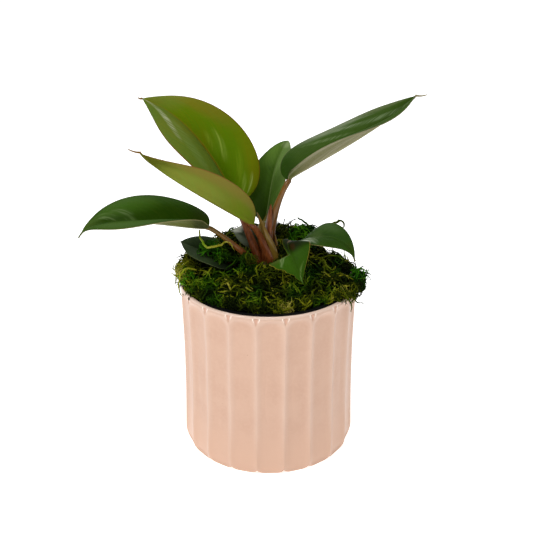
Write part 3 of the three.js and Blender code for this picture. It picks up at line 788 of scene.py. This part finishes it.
# Crown: the short stem and the petioles that spring from it, red-brown and glossy, with three
# thin pointed sheaths that wrapped young leaves. They grew as one piece, rooted in the mix.
STEM_RADIUS = 8.6
STEM_FOOT = 91.3
JOIN = 11
SHEATHS = [
    ([(1.5, -3, 141), (-0.5, -4.5, 158), (0.6, -3.5, 172), (1.8, -1.5, 185)], 4, 0.0),
    ([(6, -6, 140), (3.5, -9, 154), (-2, -8, 166), (-8, -4, 180)], 3, 0.8),
    ([(8.5, -4, 138), (7.5, -4, 147), (5.8, -3, 155), (4.4, -2, 163)], 2.6, 0.6),
]
SHEATH_FLAT = 0.55
GREENNESS = {
    "low_left": 0.7, "back": 2, "tall_right": 0.45, "low_right": 0.6, "front_small": 1.8,
}
RED_PETIOLE = 0.05


def spline(points, way):
    """A point on the smooth curve through four or more points."""
    spans = len(points) - 1
    k = min(int(way * spans), spans - 1)
    here = way * spans - k
    p = [Vector(points[clamp(k + i, 0, spans)]) for i in (-1, 0, 1, 2)]
    bend = 2 * p[0] - 5 * p[1] + 4 * p[2] - p[3]
    twist = 3 * p[1] - p[0] - 3 * p[2] + p[3]
    return 0.5 * (2 * p[1] + (p[2] - p[0]) * here + bend * here ** 2 + twist * here ** 3)


bm = bmesh.new()
green_layer = bm.verts.layers.float.new("greenness")
profile = [(0, STEM_FOOT), (6.6, STEM_FOOT + 0.4), (8.2, 93.5), (STEM_RADIUS, 97)]
profile += [(STEM_RADIUS - 0.35 * (1 + cos(z)) / 2, z) for z in steps(100, 127, 27)]
profile += [(8.0, 130), (7.6, 134), (7.0, 138), (5.6, 140.6), (3.2, 142.3), (0, 143)]
points = [bm.verts.new((r, 0, z)) for r, z in profile]
edges = [bm.edges.new(pair) for pair in zip(points, points[1:])]
bmesh.ops.spin(bm, geom=points + edges, axis=(0, 0, 1), angle=2 * pi, steps=40, use_merge=True)
bmesh.ops.remove_doubles(bm, verts=bm.verts, dist=0.001)
bmesh.ops.recalc_face_normals(bm, faces=bm.faces)
for name, leaf in LEAVES.items():
    thick, thin = leaf["stalk"]
    centre, forward, up, side = midrib(leaf, 0)
    neck = Vector(leaf["neck"]) if "neck" in leaf else -NECK * forward
    end = centre - up * (BLADE + SEAT * thin)
    root = Vector(leaf["root"])
    curve = [root, root + Vector(leaf["lean"]), end + neck, end]
    path = [bezier(curve, k / 30)[0] for k in range(31)]
    length = (Vector(leaf["rib"][3]) - centre).length
    for k in range(1, 9):
        centre, forward, up, side = midrib(leaf, k / 8 * JOIN / length)
        path.append(centre - up * (BLADE + SEAT * thin * (1 - k / 8)))
    girth = lambda way: mix(thick, thin, ease(way, 0, 0.6)) * (1 - 0.85 * ease(way, 0.76, 1))
    for vert in draw_out(bm, path, girth, 16):
        way = ease((vert.co - root).length, 10, 50)
        vert[green_layer] = GREENNESS.get(name, RED_PETIOLE) * way
for path, wide, tan in SHEATHS:
    path = [spline(path, k / 24) for k in range(25)]
    girth = lambda way: mix(wide, 0.25, way ** 3.5)
    for vert in draw_out(bm, path, girth, 14, SHEATH_FLAT):
        vert[green_layer] = tan

stem_red = Finish("stem_red", Coat_Weight=0.5, Coat_Roughness=0.12, Specular_IOR_Level=0.05)
green = stem_red.node("Attribute", {"attribute_name": "greenness"}, {}, "Fac")
fibres = stem_red.mottle(1, 4, stem_red.node("Mapping", {}, {
    "Vector": stem_red.place(), "Scale": (900, 900, 60),
}))
colour = stem_red.blend(stem_red.rise(fibres, 0.3, 0.7), paint(80, 36, 10), paint(114, 62, 30))
pale = stem_red.rise(stem_red.mottle(90, 3), 0.5, 0.8)
colour = stem_red.blend(pale * 0.5, colour, paint(140, 92, 52))
colour = stem_red.blend(green, colour, paint(100, 82, 26))
colour = stem_red.blend(green - 1, colour, paint(24, 40, 4))
height = stem_red.node("SeparateXYZ", {}, {"Vector": stem_red.place()}, "Z")
rooted = 1 - stem_red.rise(height, 0.134, 0.148)
colour = stem_red.blend(rooted * 0.35, colour, paint(58, 26, 8))
stem_red.coat("Base Color", colour)
stem_red.coat("Roughness", stem_red.mottle(200, 2) * 0.2 + 0.3)
stem_red.relief(fibres, 0.0004)
dress(bm, "stem_and_petioles", [stem_red], ["crown"])


# Moss, the mat: sheet moss laid round the crown, low inside the rim in front and heaped over
# the rim at the sides and back. Its near-black green is painted shade of the gaps in the moss.
HOLE = 11
MIDDLE = 139
FRONT = 130
BACK = 143
TILT = 5
REACH = 66.5
LEAN = 2.5
INSIDE = 54.9
SOIL_TOP = 121
SUNK = 3.2
DIP = 18
MOUND = (-32, 2, 24)
MOUND_TALL = 7
SHOULDER = 4
MAT_COLUMNS = 220
MAT_START = 10
LUMP = 1.5


def over_rim(angle):
    return ease(sin(angle), -0.78, -0.45)


def moss_top(angle, radius):
    x, y = radius * cos(angle), radius * sin(angle)
    edge = mix(FRONT, BACK + TILT * cos(angle), ease(sin(angle), -0.8, 0.8))
    lumps = 1.6 * sin(x / 5.2 + 1) * sin(y / 6.1) + 0.9 * sin(x / 2.9 - y / 3.7)
    mound_x, mound_y, wide = MOUND
    mound = MOUND_TALL * ease(wide - hypot(x - mound_x, y - mound_y), 0, wide)
    dip = DIP * ease(cos(angle - 0.45), 0.7, 0.97) * ease(radius, 22, 46)
    return mix(MIDDLE, edge, ease(radius, 16, 50)) + lumps + mound - dip


def sunken(angle):
    """1 at the back right, where the moss lies below the rim, and 0 elsewhere."""
    return ease(cos(angle - 0.5), 0.86, 0.97)


def moss_section(angle, lowered):
    """The mat's outline at one angle round the pot, from the crown out, down and back in."""
    bulge = over_rim(angle) * (1 - sunken(angle))
    reach = mix(INSIDE, REACH + LEAN * cos(angle), bulge) - 1.1 * lowered
    rest = mix(SOIL_TOP + 3, HEIGHT + 0.5, bulge)
    rings = steps(HOLE, reach - SHOULDER, 26)
    section = [(r, moss_top(angle, r) - lowered) for r in rings]
    shoulder = section[-1][1]
    section += [(reach - SHOULDER + SHOULDER * sin(a), mix(rest, shoulder, 0.35 + 0.65 * cos(a)))
                for a in steps(0.25, pi / 2, 6)]
    section += [(reach - 0.8, mix(rest, shoulder, 0.12)), (reach - 2, rest), (INSIDE - 0.5, rest)]
    section += [(INSIDE - 0.5, SOIL_TOP + 0.3), (HOLE, SOIL_TOP + 0.3)]
    return section


bm = bmesh.new()
section = moss_section(0, SUNK)
points = [bm.verts.new((MAT_START + k, 0, 0)) for k in range(len(section))]
edges = [bm.edges.new(pair) for pair in zip(points, points[1:] + points[:1])]
bmesh.ops.spin(
    bm, geom=points + edges, axis=(0, 0, 1), angle=2 * pi, steps=MAT_COLUMNS, use_merge=True,
)
for vert in bm.verts:
    angle, k = atan2(vert.co.y, vert.co.x), round(hypot(vert.co.x, vert.co.y)) - MAT_START
    r, z = moss_section(angle, SUNK)[k]
    spot = Vector((r * cos(angle), r * sin(angle), z))
    lump = noise.noise(spot / 3.1) + 0.6 * noise.noise(spot / 1.4)
    if k < len(section) - 4:
        spot += Vector((cos(angle) * 0.4, sin(angle) * 0.4, 1)) * lump * LUMP
    vert.co = spot
bmesh.ops.recalc_face_normals(bm, faces=bm.faces)
mat_shade = Finish("moss_painted_shade", Roughness=0.95, Specular_IOR_Level=0.02)
threads = mat_shade.mottle(900, 5)
raised = mat_shade.rise(threads, 0.4, 0.75)
# Painted shade: the mat is near black for the gaps deep in the moss.
mat_shade.coat("Base Color", mat_shade.blend(raised, paint(3, 6, 1), paint(22, 34, 4)))
mat_shade.relief(threads, 0.002)
dress(bm, "moss_mat", [mat_shade], ["moss"])


# Moss, the strands: thousands of curling threads with short side shoots, from dark green below
# to olive, yellow-green and dried pale curls on top, the lower layers darkened by painted shade.
# They grow out of the mat and back into it, and leave one hollow bare at the left, where a dark
# leaf lies low.
KINDS = 16
SPRIG_GIRTH = 0.66
SEGMENTS = 10
SHOOTS = 4
# The lower layers' darker tones are partly painted shade of the depths of the moss.
LAYERS = [
    ("moss_low_strands", 1400, (-2.4, -0.6), (0.0, 0.22), 0.9),
    ("moss_strands", 1600, (-1.4, 0.8), (0.0, 0.42), 0.85),
    ("moss_curls", 850, (-0.2, 2.2), (0.2, 0.84), 0.95),
]
HOLLOW = (-24.5, -9, 4, 10)
random.seed(20)


def curl_path(length, turn, rise, count):
    """A curling line that starts and ends in the mat."""
    heading, here, path = 0.0, Vector((0, 0, 0)), []
    bend = random.choice((-1, 1)) * random.uniform(0.4, 1) * turn
    swing = random.uniform(0, 2 * pi)
    for k in range(count + 1):
        way = k / count
        path.append(Vector((here.x, here.y, rise * sin(pi * way) - 1 + 0.7 * sin(6 * way + swing))))
        heading += (bend + 2.4 * sin(2 * pi * way * 1.4 + swing)) / count
        here += Vector((cos(heading), sin(heading), 0)) * length / count
    return path


def shoot(bm, start, ahead, girth):
    """A short side shoot that leaves its strand on a slant."""
    aside = Matrix.Rotation(random.choice((-1, 1)) * random.uniform(0.5, 1.1), 3, "Z") @ ahead
    aside.z += random.uniform(-0.1, 0.6)
    reach = random.uniform(1.1, 2.6)
    return draw_out(bm, [start, start + aside * reach], lambda way: girth * mix(0.6, 0.2, way), 3)


def sprig():
    """One strand with its side shoots, as a mesh of a few dozen faces."""
    bm = bmesh.new()
    length, turn, rise = random.uniform(10, 19), random.uniform(1.5, 7.5), random.uniform(1.2, 3.8)
    path = curl_path(length, turn, rise, SEGMENTS)
    path = [point - path[SEGMENTS // 2] * 0.5 for point in path]
    draw_out(bm, path, lambda way: SPRIG_GIRTH * (1 - 0.6 * abs(2 * way - 0.7) ** 1.5), 3)
    for _ in range(SHOOTS):
        k = random.randint(1, SEGMENTS - 1)
        shoot(bm, path[k], (path[k + 1] - path[k]).normalized(), SPRIG_GIRTH)
    mesh = bpy.data.meshes.new("sprig")
    bm.to_mesh(mesh)
    bm.free()
    mesh.attributes.new("shade", "FLOAT", "POINT")
    return mesh


def lay(bm, spot, normal, tilt, size, tone):
    """Adds one sprig to a growing piece of moss, laid along its surface and coloured."""
    copy = random.choice(sprigs).copy()
    stand = Matrix.Translation(spot) @ normal.to_track_quat("Z", "Y").to_matrix().to_4x4()
    turned = Matrix.Rotation(random.uniform(0, 2 * pi), 4, "Z") @ Matrix.Rotation(tilt, 4, "Y")
    copy.transform(stand @ turned @ Matrix.Scale(size, 4))
    copy.attributes["shade"].data.foreach_set("value", [tone] * len(copy.vertices))
    bm.from_mesh(copy)
    bpy.data.meshes.remove(copy)


def clumped(spot, tones, loose=0.3):
    """A tone for one strand: strands that grow together are much alike."""
    clump = 0.5 + 1.1 * noise.noise(spot / 9 + Vector((0, 0, 40)))
    # Painted light: strands towards the left are lighter and towards the right darker, as the light
    # falls from the left.
    clump += 0.2 * ease(-spot.x, 34, 60) - 0.3 * ease(spot.x, 26, 46)
    return mix(*tones, clamp(clump + random.uniform(-loose, loose)))


def on_mat(angle, radius):
    """A place on the mat's top, and which way the mat faces there."""
    spot, inward, along = (
        Vector((r * cos(turn), r * sin(turn), moss_top(turn, r)))
        for turn, r in ((angle, radius), (angle, radius - 1), (angle + 1 / radius, radius))
    )
    return spot, (spot - inward).cross(along - spot).normalized()


threads = Finish("moss_threads", Roughness=0.7, Specular_IOR_Level=0.03)
shade = threads.node("Attribute", {"attribute_name": "shade"}, {}, "Fac")
growing = threads.rise(shade, 1.4, 1.6)
shade = shade - growing * 2 + (threads.mottle(420, 2) - 0.5) * 0.35
colour = threads.node("ValToRGB", {"stops": [
    (0.0, paint(9, 13, 1)), (0.25, paint(25, 37, 2)), (0.45, paint(52, 63, 4)),
    (0.64, paint(94, 101, 10)), (0.82, paint(132, 131, 28)), (1.0, paint(176, 166, 88)),
]}, {"Fac": shade})
clumps = threads.rise(threads.mottle(42, 2), 0.5, 0.66)
fresh = threads.maths("MAXIMUM", growing * 0.75, clumps * 0.45)
colour = threads.blend(fresh, colour, threads.blend(shade, paint(4, 22, 0), paint(64, 150, 14)))
threads.coat("Base Color", colour)
threads.relief(threads.mottle(2200, 2), 0.0004)

sprigs = [sprig() for _ in range(KINDS)]
for name, count, raised, tones, size in LAYERS:
    bm = bmesh.new()
    bm.verts.layers.float.new("shade")
    for _ in range(count):
        angle = random.uniform(-pi, pi)
        edge = mix(INSIDE - 5.5, REACH - 5, over_rim(angle))
        radius = sqrt(mix(HOLE ** 2, edge ** 2, random.random()))
        spot, normal = on_mat(angle, radius)
        if hypot((spot.x - HOLLOW[0]) / HOLLOW[2], (spot.y - HOLLOW[1]) / HOLLOW[3]) < 1:
            continue
        spot += normal * (random.uniform(*raised) + 2.0 * noise.noise(spot / 6))
        tilt, grown = random.uniform(-0.4, 0.4), size * random.uniform(0.7, 1.25)
        lay(bm, spot, normal, tilt, grown, clumped(spot, tones))
    dress(bm, name, [threads])


# Moss, the frayed edge: shorter strands that hang round the mat's side and out over the
# planter's rim, low inside the rim in front and at the back right.
EDGE_STRANDS = 1500
EDGE_TONES = (0.08, 0.9)

bm = bmesh.new()
bm.verts.layers.float.new("shade")
for _ in range(EDGE_STRANDS):
    angle = random.uniform(-pi, pi)
    way = random.random()
    reach = mix(INSIDE + 1.5, REACH + LEAN * cos(angle), over_rim(angle))
    reach += 2.5 * ease(cos(angle), 0.6, 1) - 4.5 * sunken(angle)
    low = mix(FRONT - 1, HEIGHT + 2, over_rim(angle)) - 3.5 * sunken(angle)
    r = reach - 1.5 - 5 * way ** 2.5 - 1.5 * (1 - way) ** 2
    normal = Vector((cos(angle), sin(angle), mix(-0.3, 0.9, way))).normalized()
    spot = Vector((r * cos(angle), r * sin(angle), mix(low, moss_top(angle, reach - 5), way)))
    spot += normal * (random.uniform(-1.5, 0.5) + 1.5 * noise.noise(spot / 6))
    tilt, grown = random.uniform(-0.5, 0.3), random.uniform(0.55, 1.0)
    lay(bm, spot, normal, tilt, grown, clumped(spot, EDGE_TONES))
dress(bm, "moss_edge_strands", [threads])


# Moss, the heaps: loose tufts pressed in beside the crown, at the left edge and behind the
# plant. Each is a mound's middle, radii, strands and tones, 2 more where it is fresh green.
HEAPS = [
    ((-33, -1, 144), (13, 10, 12), 240, (0.0, 0.6)),
    ((-52, 8, 138), (9, 12, 9), 90, (0.1, 0.7)),
    ((-60, -6, 135), (6, 13, 9), 70, (0.4, 0.9)),
    ((-59, -10, 133), (6, 10, 8), 60, (2.4, 3.0)),
    ((4, -14, 138), (12, 5, 6), 140, (0.35, 0.95)),
    ((-14, -12, 146), (5, 4, 5), 60, (0.0, 0.5)),
    ((-41, -8, 152), (7, 4, 8), 80, (2.0, 2.5)),
    ((11, -8, 143), (6, 4, 5), 60, (0.1, 0.7)),
    ((11, -5, 150), (5, 3, 4), 40, (0.0, 0.4)),
    ((26, 34, 140), (13, 9, 15), 190, (2.1, 2.75)),
    ((10, 38, 139), (10, 8, 16), 70, (0.0, 0.5)),
    ((56, 18, 124), (8, 14, 6), 130, (0.0, 0.45)),
    ((63, -12, 130), (4, 12, 9), 70, (2.1, 2.7)),
]

bm = bmesh.new()
bm.verts.layers.float.new("shade")
for middle, radii, count, tones in HEAPS:
    for _ in range(count):
        normal = Vector([random.gauss(0, 1) for _ in range(3)]).normalized()
        normal.z = abs(normal.z)
        depth = random.uniform(0.6, 1) ** 0.5
        spot = Vector(middle) + Vector([n * r * depth for n, r in zip(normal, radii)])
        tilt, grown = random.uniform(-0.5, 0.5), random.uniform(0.5, 0.95)
        lay(bm, spot, normal, tilt, grown, clumped(spot, tones))
dress(bm, "moss_heaped_strands", [threads])


# Moss, the long strands: ten single stems that stand clear of the mat or trail over the rim,
# each a line of points, its girth and its tone, with short shoots all along it.
LONG_STRANDS = [
    ([(-48, -8, 168.4), (-48, -10, 164.4), (-45.9, -12, 160.8), (-43, -14, 157.8),
      (-38, -15, 158.3), (-33, -14, 159.4), (-29.7, -13, 161.2), (-26.3, -12, 159.3),
      (-23.5, -10, 153)], 0.8, 0.85),
    ([(-50, -20, 143), (-57.1, -24, 146), (-60.5, -26, 142.6), (-62.4, -27, 137),
      (-62.3, -27, 130.8), (-60.9, -28, 126.6)], 0.7, 0.8),
    ([(-56, -12, 146), (-62.5, -14, 142), (-65, -14, 136.3), (-65.6, -16, 130)], 0.6, 0.7),
    ([(47, -34, 138), (52, -38, 134.6), (55.4, -40, 129.4), (57.4, -41, 124.8),
      (56.7, -41, 121)], 0.6, 0.45),
    ([(49, -30, 138), (53.6, -34, 134.2), (57.7, -36, 130.5), (61.8, -37, 125.9),
      (65.2, -35, 125.4)], 0.6, 0.4),
    ([(-30, -28, 136), (-27.9, -31, 137.6), (-25.1, -34, 132.6), (-19.5, -38, 129.5),
      (-14.6, -41, 128)], 0.6, 0.85),
    ([(38, -10, 137), (41.8, -14, 136.5), (45.8, -20, 134.4), (46.4, -26, 132), (43.5, -32, 130.6),
      (37.1, -36, 128)], 0.65, 0.84),
    ([(36, 2, 138), (39.5, 0, 141), (42, -4, 138.6), (45.8, -8, 137.4),
      (48, -10, 140.6)], 0.6, 0.8),
    ([(38, 26, 148), (43, 24, 157), (48, 22, 161), (53, 20, 164), (55, 20, 160),
      (52, 20, 157)], 0.9, 0.45),
    ([(22, 38, 159), (27, 37, 156), (31, 36, 152.5), (38, 35, 147)], 0.8, 0.45),
]
LONG_SHOOTS = 24
KINK = 0.5


def kinked(point):
    """The point moved a little to one side, as dried moss twists."""
    shift = [noise.noise(point / 2 + Vector((offset, 0, 0))) for offset in (0, 9, 18)]
    return point + KINK * Vector(shift)


bm = bmesh.new()
shade_layer = bm.verts.layers.float.new("shade")
for points, girth, tone in LONG_STRANDS:
    path = [kinked(spline(points, k / 32)) for k in range(33)]
    made = draw_out(bm, path, lambda way: girth * (1 - 0.6 * abs(2 * way - 0.8) ** 2), 6)
    for _ in range(LONG_SHOOTS):
        k = random.randint(2, 30)
        made += shoot(bm, path[k], (path[k + 1] - path[k]).normalized(), girth * 0.8)
    for vert in made:
        vert[shade_layer] = tone + random.uniform(-0.05, 0.05)
dress(bm, "moss_long_strands", [threads])
